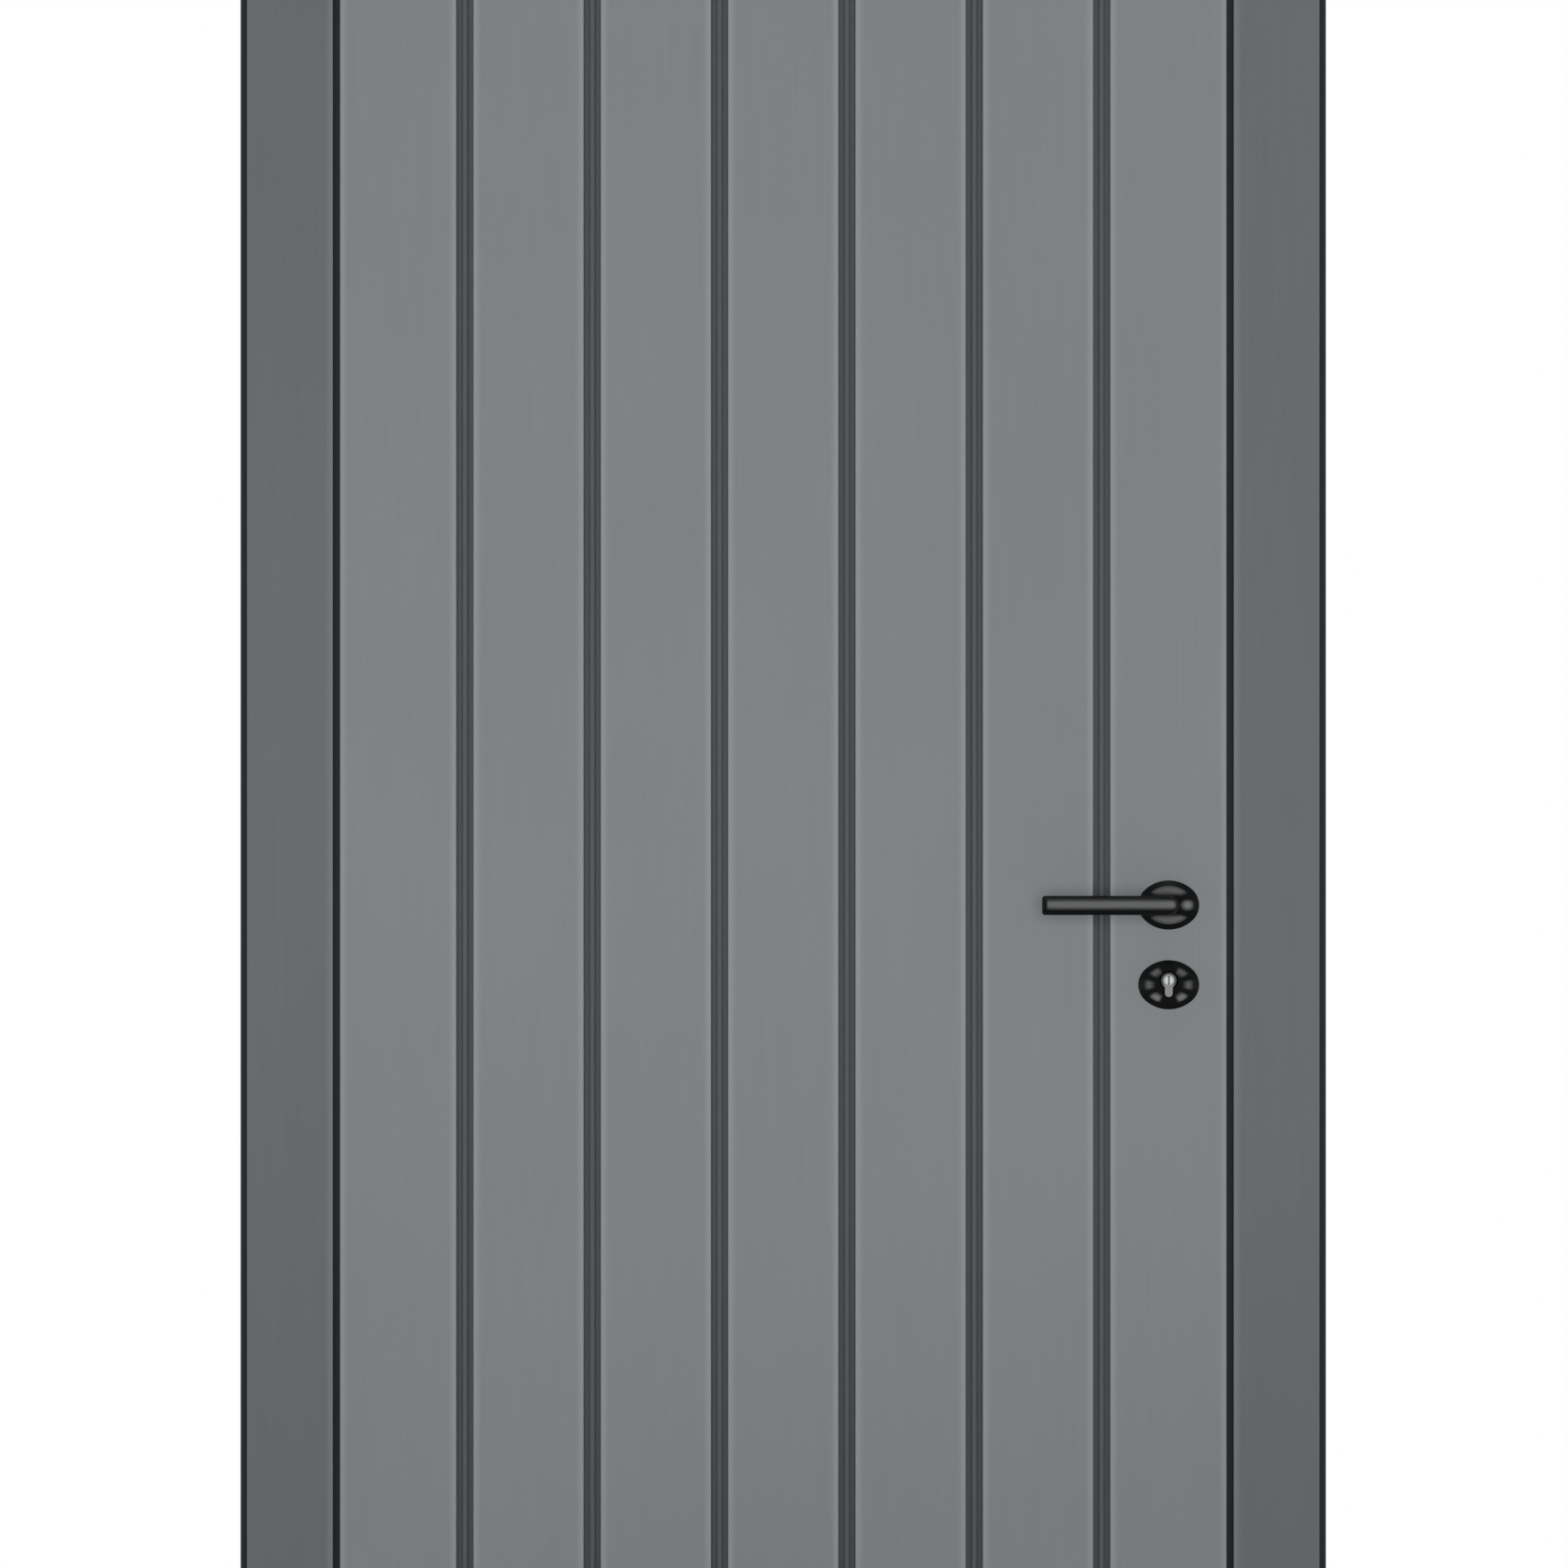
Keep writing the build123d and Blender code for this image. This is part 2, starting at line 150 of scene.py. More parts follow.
def board_edge_distance(tree, place):
    """How far a point is from the nearest long edge of its board, in metres."""
    side = off_middle(tree, place)
    boards = add_node(tree, "ShaderNodeMath", {0: side, 1: board_pitch}, operation="DIVIDE").outputs[0]
    whole = add_node(tree, "ShaderNodeMath", {0: boards}, operation="FLOOR").outputs[0]
    groove = add_node(tree, "ShaderNodeMath", {0: whole, 1: last_groove}, operation="MINIMUM").outputs[0]
    middle = add_node(
        tree, "ShaderNodeMath", {0: groove, 1: board_pitch, 2: board_pitch / 2}, operation="MULTIPLY_ADD"
    ).outputs[0]
    beside = add_node(tree, "ShaderNodeMath", {0: side, 1: middle}, operation="SUBTRACT").outputs[0]
    apart = add_node(tree, "ShaderNodeMath", {0: beside}, operation="ABSOLUTE").outputs[0]
    to_groove = add_node(
        tree, "ShaderNodeMath", {0: apart, 1: groove_width / 2}, operation="SUBTRACT"
    ).outputs[0]
    to_gap = add_node(
        tree, "ShaderNodeMath", {0: board_half_width, 1: side}, operation="SUBTRACT"
    ).outputs[0]
    return add_node(tree, "ShaderNodeMath", {0: to_groove, 1: to_gap}, operation="MINIMUM").outputs[0]


def lip_edge_distance(tree, place):
    """How far a point of a jamb is from the edge of its lip, in metres."""
    return add_node(
        tree, "ShaderNodeMath", {0: off_middle(tree, place), 1: jamb_high.x}, operation="ADD"
    ).outputs[0]


# Matt lacquer sprayed on planed softwood: opaque and without gloss, so that the grain shows only as
# a faint lengthwise relief, with a painted highlight as a paler band along the edges. A painted dark
# line on the rounded outer corner of the frame stands in for the shade at its edge beside the wall.
grain_across = 2.2 * mm
grain_along = 110 * mm
grain_relief = 0.06 * mm
spray_grit = 0.9 * mm
spray_share = 0.3
cloud_size = 330 * mm
tone_spread = 0.3
edge_highlight_width = 8 * mm
# Width of the painted shade on the jamb's outer corner
corner_shade_width = 6 * mm


def at_painted_corner_shade(tree, place):
    """1 on the outer corner of a jamb, where a dark line is painted as shade, and 0 elsewhere."""
    outer = add_node(
        tree, "ShaderNodeMath", {0: off_middle(tree, place), 1: -jamb_low.x - corner_shade_width},
        operation="GREATER_THAN",
    ).outputs[0]
    y = add_node(tree, "ShaderNodeSeparateXYZ", {"Vector": place}).outputs["Y"]
    front = add_node(
        tree, "ShaderNodeMath", {0: y, 1: jamb_low.y + corner_shade_width}, operation="LESS_THAN"
    ).outputs[0]
    return add_node(tree, "ShaderNodeMath", {0: outer, 1: front}, operation="MULTIPLY").outputs[0]


def matt_lacquer(name, dark, light, edge_highlight="", lengthwise="Z", edge_distance=None, corner_shade=""):
    """Lacquer between two tones on wood that runs along one axis, with a painted highlight towards an edge.
    """
    material, tree, shader, place = start_material(name, {"Roughness": 0.6, "Specular IOR Level": 0.1})
    waves_per_metre = [1 / grain_along if axis == lengthwise else 1 / grain_across for axis in "XYZ"]
    stretched = add_node(tree, "ShaderNodeMapping", {"Vector": place, "Scale": waves_per_metre})
    grain = add_node(
        tree, "ShaderNodeTexNoise",
        {"Vector": stretched.outputs["Vector"], "Scale": 1.0, "Detail": 3.0, "Roughness": 0.6},
    )
    cloud = add_node(tree, "ShaderNodeTexNoise", {"Vector": place, "Scale": 1 / cloud_size, "Detail": 2.0})
    shade = add_node(
        tree, "ShaderNodeMath", {0: grain.outputs["Fac"], 1: cloud.outputs["Fac"]}, operation="ADD"
    )
    tone = add_node(
        tree, "ShaderNodeMapRange",
        {"Value": shade.outputs[0], "From Min": 1 - tone_spread, "From Max": 1 + tone_spread},
    )
    colour = add_node(
        tree, "ShaderNodeMix",
        {0: tone.outputs["Result"], mix_dark: linear(dark), mix_light: linear(light)},
        data_type="RGBA",
    ).outputs[mix_result]
    # Painted highlight: a paler band along the edges of the boards and of the frame's lip
    if edge_distance:
        edge_highlight_mask = share_of(tree, [(edge_distance(tree, place), (edge_highlight_width, 0.0))])
        colour = add_node(
            tree, "ShaderNodeMix", {0: edge_highlight_mask, mix_dark: colour, mix_light: linear(edge_highlight)},
            data_type="RGBA",
        ).outputs[mix_result]
    # Painted shade: a dark line on the rounded outer corner of each jamb, for the shade at its edge
    if corner_shade:
        colour = add_node(
            tree, "ShaderNodeMix",
            {0: at_painted_corner_shade(tree, place), mix_dark: colour, mix_light: linear(corner_shade)},
            data_type="RGBA",
        ).outputs[mix_result]
    tree.links.new(colour, shader.inputs["Base Color"])
    grit = add_node(tree, "ShaderNodeTexNoise", {"Vector": place, "Scale": 1 / spray_grit, "Detail": 1.0})
    relief = add_node(
        tree, "ShaderNodeMath",
        {0: grit.outputs["Fac"], 1: spray_share, 2: grain.outputs["Fac"]}, operation="MULTIPLY_ADD",
    )
    bump = add_node(tree, "ShaderNodeBump", {"Height": relief.outputs[0], "Distance": grain_relief})
    tree.links.new(bump.outputs["Normal"], shader.inputs["Normal"])
    return material


# Dark primer on both faces of the core, which shows only at the bottom of the grooves, and beside and
# over the boards a darker painted shade, which makes the gap look deep; the core's edges are
# lacquered like the frame
primer_depth = 0.5 * mm
primer_grit = 0.05 * mm


def primed_core(name, lacquer, primer, gap_shade):
    """The core: primer on its two faces, and lacquer on what shows when the door is open."""
    material, tree, shader, place = start_material(name, {"Roughness": 0.7, "Specular IOR Level": 0.1})
    axes = add_node(tree, "ShaderNodeSeparateXYZ", {"Vector": place})
    depth = add_node(
        tree, "ShaderNodeMath", {0: axes.outputs["Y"], 1: (core_low.y + core_high.y) / 2},
        operation="SUBTRACT",
    )
    from_middle = add_node(tree, "ShaderNodeMath", {0: depth.outputs[0]}, operation="ABSOLUTE")
    face = add_node(
        tree, "ShaderNodeMath",
        {0: from_middle.outputs[0], 1: (core_high.y - core_low.y) / 2 - primer_depth},
        operation="GREATER_THAN",
    )
    beside = add_node(
        tree, "ShaderNodeMath", {0: off_middle(tree, place), 1: board_half_width},
        operation="GREATER_THAN",
    )
    over = add_node(
        tree, "ShaderNodeMath", {0: axes.outputs["Z"], 1: board_1_high.z}, operation="GREATER_THAN"
    )
    past_boards = add_node(
        tree, "ShaderNodeMath", {0: beside.outputs[0], 1: over.outputs[0]}, operation="MAXIMUM"
    )
    # Painted shade: beside and over the boards the primer is darker, so that the gap round them looks deep
    primed = add_node(
        tree, "ShaderNodeMix",
        {0: past_boards.outputs[0], mix_dark: linear(primer), mix_light: linear(gap_shade)},
        data_type="RGBA",
    )
    colour = add_node(
        tree, "ShaderNodeMix",
        {0: face.outputs[0], mix_dark: linear(lacquer), mix_light: primed.outputs[mix_result]},
        data_type="RGBA",
    )
    tree.links.new(colour.outputs[mix_result], shader.inputs["Base Color"])
    grit = add_node(tree, "ShaderNodeTexNoise", {"Vector": place, "Scale": 1 / spray_grit, "Detail": 2.0})
    bump = add_node(tree, "ShaderNodeBump", {"Height": grit.outputs["Fac"], "Distance": primer_grit})
    tree.links.new(bump.outputs["Normal"], shader.inputs["Normal"])
    return material


# Black powder coat, sprayed dry and baked on the hardware: satin, with an orange peel that is drawn
# about as coarse as it gets, so that a close view shows it
powder_grain = 1.6 * mm
powder_relief = 0.02 * mm


def powder_coat(name, low, high, highlight_tone="", painted_highlight=None):
    """A baked coat between two near blacks, with painted highlight where a function of the place puts it.
    """
    material, tree, shader, place = start_material(
        name, {"Roughness": 0.45, "Specular IOR Level": 0.06}
    )
    grain = add_node(
        tree, "ShaderNodeTexNoise", {"Vector": place, "Scale": 1 / powder_grain, "Detail": 2.0}
    )
    colour = add_node(
        tree, "ShaderNodeMix",
        {0: grain.outputs["Fac"], mix_dark: linear(low), mix_light: linear(high)},
        data_type="RGBA",
    ).outputs[mix_result]
    # Painted highlight: the coat turns paler where the given function says
    if painted_highlight:
        colour = add_node(
            tree, "ShaderNodeMix", {0: painted_highlight(tree, place), mix_dark: colour, mix_light: linear(highlight_tone)},
            data_type="RGBA",
        ).outputs[mix_result]
    tree.links.new(colour, shader.inputs["Base Color"])
    bump = add_node(tree, "ShaderNodeBump", {"Height": grain.outputs["Fac"], "Distance": powder_relief})
    tree.links.new(bump.outputs["Normal"], shader.inputs["Normal"])
    return material


# Painted highlights, where the coat is made paler; each pair is where the highlight begins and where it
# is full. On a lever it is a band along the bar's front, short of the free end, that fades in the bend.
# On a rose it keeps to the face inside a black rim. Places there are shares of the rose's half width
# and half height, and angles are taken from the level line of the bar, alike to all four sides.
bar_band = (5.6 * mm, 1.0 * mm)
bar_band_lift = 0.8 * mm
bar_depth = (13 * mm, 6 * mm)
bar_end = (3 * mm, 6 * mm)
face_skin = 0.1 * mm
arc_height = (0.34, 0.56)
arc_rim = (0.9, 0.62)
arc_angle = (radians(34), radians(50))
arc_strength = 0.66
spot_place = 0.61
spot_edge = (0.28, 0.02)
ray_spacing = radians(50)
ray_wave = (-0.9, 0.8)
ray_inner_edge = (0.42, 0.67)
ray_rim = (0.86, 0.64)
ray_angle = (radians(80), radians(66))
ray_strength = 0.55
# How much brighter the lower rays of the painted highlight on the key rose are
lower_ray_brightening = (0.0, -0.6)

# Measures that the rubbed places follow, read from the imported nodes
lever_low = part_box("lever_outside")[0]
inner_lever_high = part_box("lever_inside")[1]
inner_rose_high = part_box("key_rose_inside")[1]
hardware_middle = (key_rose_low.y + inner_rose_high.y) / 2
face_reach = (inner_rose_high.y - key_rose_low.y) / 2
bar_reach = (inner_lever_high.y - lever_low.y) / 2
rose_x = (rose_low.x + rose_high.x) / 2
rose_half_width = (rose_high.x - rose_low.x) / 2
rose_half_height = (rose_high.z - rose_low.z) / 2
lever_z = (rose_low.z + rose_high.z) / 2
key_z = (key_rose_low.z + key_rose_high.z) / 2


def outward_reach(tree, place):
    """How far a point lies from the plane midway between the two sides' roses, in metres."""
    y = add_node(tree, "ShaderNodeSeparateXYZ", {"Vector": place}).outputs["Y"]
    off = add_node(tree, "ShaderNodeMath", {0: y, 1: hardware_middle}, operation="SUBTRACT").outputs[0]
    return add_node(tree, "ShaderNodeMath", {0: off}, operation="ABSOLUTE").outputs[0]


def painted_bar_highlight(tree, place):
    """Painted highlight: a band along the front of a lever."""
    axes = add_node(tree, "ShaderNodeSeparateXYZ", {"Vector": place})
    up = add_node(
        tree, "ShaderNodeMath", {0: axes.outputs["Z"], 1: lever_z + bar_band_lift}, operation="SUBTRACT"
    )
    beside = add_node(tree, "ShaderNodeMath", {0: up.outputs[0]}, operation="ABSOLUTE").outputs[0]
    return share_of(tree, [
        (beside, bar_band),
        (outward_reach(tree, place), [bar_reach - depth for depth in bar_depth]),
        (axes.outputs["X"], [lever_low.x + length for length in bar_end]),
    ])


def rose_places(tree, place, rose_z):
    """Of a point on a rose: its place in shares of the rose, how far out it is, and its angle."""
    share = add_node(
        tree, "ShaderNodeVectorMath",
        {0: place, 1: (1 / rose_half_width, 0, 1 / rose_half_height),
         2: (-rose_x / rose_half_width, 0, -rose_z / rose_half_height)},
        operation="MULTIPLY_ADD",
    ).outputs["Vector"]
    outwards = add_node(tree, "ShaderNodeVectorMath", {0: share}, operation="LENGTH").outputs["Value"]
    quarter = add_node(tree, "ShaderNodeVectorMath", {0: share}, operation="ABSOLUTE").outputs["Vector"]
    sides = add_node(tree, "ShaderNodeSeparateXYZ", {"Vector": quarter})
    angle = add_node(
        tree, "ShaderNodeMath", {0: sides.outputs["Z"], 1: sides.outputs["X"]}, operation="ARCTAN2"
    ).outputs[0]
    return share, outwards, angle


def on_face(tree, place):
    """1 on the flat face of a rose and on what stands out of it, and 0 on its tapered rim."""
    return add_node(
        tree, "ShaderNodeMath", {0: outward_reach(tree, place), 1: face_reach - face_skin},
        operation="GREATER_THAN",
    ).outputs[0]


def painted_lever_rose_highlight(tree, place):
    """Painted highlight: an arc over and an arc under the bar, and a spot beside the collar."""
    share, outwards, angle = rose_places(tree, place, lever_z)
    up = add_node(tree, "ShaderNodeSeparateXYZ", {"Vector": share}).outputs["Z"]
    height = add_node(tree, "ShaderNodeMath", {0: up}, operation="ABSOLUTE").outputs[0]
    arcs = share_of(tree, [(height, arc_height), (outwards, arc_rim), (angle, arc_angle)])
    weak = add_node(tree, "ShaderNodeMath", {0: arcs, 1: arc_strength}, operation="MULTIPLY").outputs[0]
    off_spot = add_node(
        tree, "ShaderNodeVectorMath", {0: share, 1: (spot_place, 0, 0)}, operation="DISTANCE"
    ).outputs["Value"]
    spot = share_of(tree, [(off_spot, spot_edge)])
    painted_highlight = add_node(tree, "ShaderNodeMath", {0: weak, 1: spot}, operation="MAXIMUM").outputs[0]
    return add_node(
        tree, "ShaderNodeMath", {0: painted_highlight, 1: on_face(tree, place)}, operation="MULTIPLY"
    ).outputs[0]


def painted_key_rose_highlight(tree, place):
    """Painted highlight: six short rays round the cylinder, none over or under it, brightest below."""
    share, outwards, angle = rose_places(tree, place, key_z)
    turn = add_node(tree, "ShaderNodeMath", {0: angle, 1: 2 * pi / ray_spacing}, operation="MULTIPLY")
    wave = add_node(tree, "ShaderNodeMath", {0: turn.outputs[0]}, operation="COSINE").outputs[0]
    rays = share_of(tree, [
        (wave, ray_wave), (outwards, ray_inner_edge), (outwards, ray_rim), (angle, ray_angle)
    ])
    up = add_node(tree, "ShaderNodeSeparateXYZ", {"Vector": share}).outputs["Z"]
    strength = add_node(
        tree, "ShaderNodeMath",
        {0: share_of(tree, [(up, lower_ray_brightening)]), 1: 1 - ray_strength, 2: ray_strength},
        operation="MULTIPLY_ADD",
    ).outputs[0]
    painted_highlight = add_node(tree, "ShaderNodeMath", {0: rays, 1: strength}, operation="MULTIPLY").outputs[0]
    return add_node(
        tree, "ShaderNodeMath", {0: painted_highlight, 1: on_face(tree, place)}, operation="MULTIPLY"
    ).outputs[0]


# Metals: stainless steel ground along its length, zinc plated steel as rolled, and aluminium drawn
# through a die and anodised, which leaves long fine lines in a matt silver. The lines stand further
# apart than real ones, so that a close view shows them.
gloss_spread = 0.05


def lined_metal(name, dark, light, roughness, spacing, length, lengthwise, depth):
    """Metal with fine lines along one axis, spaced in metres."""
    material, tree, shader, place = start_material(name, {"Metallic": 1.0})
    lines_per_metre = [1 / length if axis == lengthwise else 1 / spacing for axis in "XYZ"]
    stretched = add_node(tree, "ShaderNodeMapping", {"Vector": place, "Scale": lines_per_metre})
    lines = add_node(
        tree, "ShaderNodeTexNoise",
        {"Vector": stretched.outputs["Vector"], "Scale": 1.0, "Detail": 3.0, "Roughness": 0.6},
    )
    tone = add_node(
        tree, "ShaderNodeMix",
        {0: lines.outputs["Fac"], mix_dark: linear(dark), mix_light: linear(light)},
        data_type="RGBA",
    )
    tree.links.new(tone.outputs[mix_result], shader.inputs["Base Color"])
    gloss = add_node(
        tree, "ShaderNodeMapRange",
        {"Value": lines.outputs["Fac"], "To Min": roughness - gloss_spread,
         "To Max": roughness + gloss_spread},
    )
    tree.links.new(gloss.outputs["Result"], shader.inputs["Roughness"])
    bump = add_node(tree, "ShaderNodeBump", {"Height": lines.outputs["Fac"], "Distance": depth})
    tree.links.new(bump.outputs["Normal"], shader.inputs["Normal"])
    return material


# Nickel plated brass, left satin, with a painted highlight on the middle of the cylinder's round plug
# and painted shade on the ring round it, so that the pear reads as two parts
nickel_cloud = 4 * mm
nickel_relief = 0.004 * mm
plug_highlight_reach = (5.6 * mm, 2.0 * mm)
ring_shade_reach = (4.6 * mm, 6.0 * mm)
ring_outside = (9 * mm, 8 * mm)
ring_drop = (6 * mm, 3 * mm)
plug_x = (cylinder_low.x + cylinder_high.x) / 2
plug_z = cylinder_high.z - (cylinder_high.x - cylinder_low.x) / 2


def nickel_plate(name, body, plug_highlight, ring_shade):
    """Nickel in a satin body tone, with painted highlight on the plug's axis and painted shade round it."""
    material, tree, shader, place = start_material(name, {"Metallic": 1.0, "Roughness": 0.35})
    end_on = add_node(
        tree, "ShaderNodeVectorMath", {0: place, 1: (1, 0, 1)}, operation="MULTIPLY"
    ).outputs["Vector"]
    off_axis = add_node(
        tree, "ShaderNodeVectorMath", {0: end_on, 1: (plug_x, 0, plug_z)}, operation="DISTANCE"
    ).outputs["Value"]
    # Painted highlight on the axis of the plug
    colour = add_node(
        tree, "ShaderNodeMix",
        {0: share_of(tree, [(off_axis, plug_highlight_reach)]), mix_dark: linear(body), mix_light: linear(plug_highlight)},
        data_type="RGBA",
    ).outputs[mix_result]
    height = add_node(tree, "ShaderNodeSeparateXYZ", {"Vector": place}).outputs["Z"]
    # Painted shade on the ring round the plug
    ring_shade_mask = share_of(tree, [
        (off_axis, ring_shade_reach), (off_axis, ring_outside),
        (height, [plug_z - drop for drop in ring_drop]),
    ])
    colour = add_node(
        tree, "ShaderNodeMix", {0: ring_shade_mask, mix_dark: colour, mix_light: linear(ring_shade)}, data_type="RGBA"
    ).outputs[mix_result]
    tree.links.new(colour, shader.inputs["Base Color"])
    cloud = add_node(
        tree, "ShaderNodeTexNoise", {"Vector": place, "Scale": 1 / nickel_cloud, "Detail": 2.0}
    )
    bump = add_node(tree, "ShaderNodeBump", {"Height": cloud.outputs["Fac"], "Distance": nickel_relief})
    tree.links.new(bump.outputs["Normal"], shader.inputs["Normal"])
    return material


# Black EPDM rubber, extruded: matt, a little grey with dust
dust_size = 16 * mm
rubber_relief = 0.03 * mm


def extruded_rubber(name, low, high):
    """Rubber between a clean and a dusty black."""
    material, tree, shader, place = start_material(name, {"Roughness": 0.75, "Specular IOR Level": 0.2})
    dust = add_node(tree, "ShaderNodeTexNoise", {"Vector": place, "Scale": 1 / dust_size, "Detail": 4.0})
    tone = add_node(
        tree, "ShaderNodeMix",
        {0: dust.outputs["Fac"], mix_dark: linear(low), mix_light: linear(high)},
        data_type="RGBA",
    )
    tree.links.new(tone.outputs[mix_result], shader.inputs["Base Color"])
    bump = add_node(tree, "ShaderNodeBump", {"Height": dust.outputs["Fac"], "Distance": rubber_relief})
    tree.links.new(bump.outputs["Normal"], shader.inputs["Normal"])
    return material


board_grey = ("#7B7F82", "#7F8386")
frame_grey = ("#63676A", "#676B6E")
hardware_black = ("#060707", "#0C0D0D")
board_lacquer = matt_lacquer(
    "board_lacquer", *board_grey, edge_highlight="#8C9093", edge_distance=board_edge_distance
)
inner_lacquer = matt_lacquer("inner_lacquer", *board_grey)
jamb_lacquer = matt_lacquer(
    "jamb_lacquer", *frame_grey, edge_highlight="#72767B", edge_distance=lip_edge_distance, corner_shade="#232627"
)
head_lacquer = matt_lacquer("head_lacquer", *frame_grey, lengthwise="X")
strip_lacquer = matt_lacquer("strip_lacquer", "#54585B", "#585C5F")
core_finish = primed_core("core_finish", lacquer="#65696C", primer="#5E6265", gap_shade="#33373A")
black_coat = powder_coat("black_powder_coat", "#101112", "#18191A")
lever_coat = powder_coat("lever_powder_coat", *hardware_black, highlight_tone="#606161", painted_highlight=painted_bar_highlight)
lever_rose_coat = powder_coat(
    "lever_rose_powder_coat", *hardware_black, highlight_tone="#757676", painted_highlight=painted_lever_rose_highlight
)
key_rose_coat = powder_coat(
    "key_rose_powder_coat", *hardware_black, highlight_tone="#737474", painted_highlight=painted_key_rose_highlight
)
stainless = lined_metal(
    "ground_stainless_steel", "#8E9092", "#B4B5B5", roughness=0.32,
    spacing=0.35 * mm, length=30 * mm, lengthwise="Z", depth=0.004 * mm,
)
nickel = nickel_plate("nickel_plated_brass", body="#8A8B8B", plug_highlight="#D8DBDD", ring_shade="#48494A")
zinc_steel = lined_metal(
    "zinc_plated_steel", "#8A8C8C", "#A4A6A4", roughness=0.4,
    spacing=0.5 * mm, length=20 * mm, lengthwise="Y", depth=0.004 * mm,
)
sill_aluminium = lined_metal(
    "anodised_aluminium", "#9DA0A2", "#B2B5B7", roughness=0.42,
    spacing=0.6 * mm, length=120 * mm, lengthwise="X", depth=0.006 * mm,
)
rubber = extruded_rubber("black_rubber", "#141516", "#26272A")


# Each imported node's finish
timber = {
    "jamb_hinge_side": jamb_lacquer, "jamb_lock_side_lower": jamb_lacquer,
    "jamb_lock_side_middle": jamb_lacquer, "jamb_lock_side_upper": jamb_lacquer,
    "frame_head": head_lacquer, "groove_strips": strip_lacquer, "inner_boards": inner_lacquer,
    "stile_hinge_side": core_finish, "stile_lock_side": core_finish, "bottom_rail": core_finish,
    "top_rail": core_finish, "leaf_panel": core_finish,
}
timber.update({name: board_lacquer for name in board_names})
hardware = {
    "threshold": sill_aluminium, "frame_gasket": rubber, "strike_plate": stainless,
    "lock_forend": stainless, "latch_bolt": nickel, "dead_bolt": nickel, "lock_cylinder": nickel,
    "lever_spindle": zinc_steel, "lever_outside": lever_coat, "lever_inside": lever_coat,
    "lever_rose_outside": lever_rose_coat, "lever_rose_inside": lever_rose_coat,
    "key_rose_outside": key_rose_coat, "key_rose_inside": key_rose_coat,
}
hardware.update({name: black_coat for name in nodes if name.startswith("hinge_")})

crease_angle = radians(30)
weld_distance = 0.002 * mm


def smoothing_nodes():
    """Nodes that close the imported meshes' loose triangles, smooth their curves and keep their creases."""
    group = bpy.data.node_groups.new("smooth_curves", "GeometryNodeTree")
    group.interface.new_socket("Geometry", in_out="INPUT", socket_type="NodeSocketGeometry")
    group.interface.new_socket("Geometry", in_out="OUTPUT", socket_type="NodeSocketGeometry")
    start = add_node(group, "NodeGroupInput")
    welded = add_node(
        group, "GeometryNodeMergeByDistance",
        {"Geometry": start.outputs["Geometry"], "Distance": weld_distance},
    )
    smooth = add_node(
        group, "GeometryNodeSetShadeSmooth", {"Geometry": welded.outputs["Geometry"]}, domain="FACE"
    )
    angle = add_node(group, "GeometryNodeInputMeshEdgeAngle")
    crease = add_node(
        group, "FunctionNodeCompare", {0: angle.outputs["Unsigned Angle"], 1: crease_angle},
        operation="GREATER_THAN",
    )
    creased = add_node(
        group, "GeometryNodeSetShadeSmooth",
        {"Geometry": smooth.outputs["Geometry"], "Selection": crease.outputs["Result"],
         "Shade Smooth": False},
        domain="EDGE",
    )
    add_node(group, "NodeGroupOutput", {"Geometry": creased.outputs["Geometry"]})
    return group


smooth_curves = smoothing_nodes()
for name, finish in {**timber, **hardware}.items():
    node = nodes[name]
    node.data.materials.clear()
    node.data.materials.append(finish)
    node.modifiers.new("smooth_curves", "NODES").node_group = smooth_curves

# Plates, bolts, the sill and the cylinder have their sharp edges taken off, which catches a thin
# line of light
edge_break = 0.4 * mm
edge_break_steps = 2
sharp_metal = [name for name in hardware if name.endswith("_flap")]
sharp_metal += ["threshold", "strike_plate", "lock_forend", "latch_bolt", "dead_bolt", "lock_cylinder"]
for name in sharp_metal:
    bevel = nodes[name].modifiers.new("edge_break", "BEVEL")
    bevel.width = edge_break
    bevel.segments = edge_break_steps
    bevel.limit_method = "ANGLE"
    bevel.angle_limit = crease_angle


# Small fixings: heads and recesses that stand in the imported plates
def finish_piece(mesh, name, body, finish):
    """A mesh as a piece that rides on a body, shaded smooth up to its creases."""
    bmesh.ops.remove_doubles(mesh, verts=mesh.verts, dist=weld_distance)
    bmesh.ops.recalc_face_normals(mesh, faces=mesh.faces)
    for face in mesh.faces:
        face.smooth = True
    for edge in mesh.edges:
        edge.smooth = len(edge.link_faces) == 2 and edge.calc_face_angle() < crease_angle
    data = bpy.data.meshes.new(name)
    mesh.to_mesh(data)
    mesh.free()
    data.materials.append(finish)
    piece = bpy.data.objects.new(name, data)
    bpy.context.scene.collection.objects.link(piece)
    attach(piece, body)


def facing(point, direction, up=Vector((0, 0, 1))):
    """A place at a point whose own +Z looks in a direction."""
    side = up.cross(direction).normalized()
    turned = Matrix((side, direction.cross(side), direction)).transposed().to_4x4()
    return Matrix.Translation(point) @ turned


# Screws: countersunk heads with a cross recess in the plates, and set screws with a hexagon
# socket under the levers
screw_sides = 24
hexagon_sides = 6
cross_cells = 3
recess_reach = 0.56
recess_depth = 0.45
recess_floor = 0.6
head_face = 0.92
head_proud = 0.06
plate_screw = 4.0 * mm
forend_screw = 3.4 * mm
set_screw = 2.2 * mm


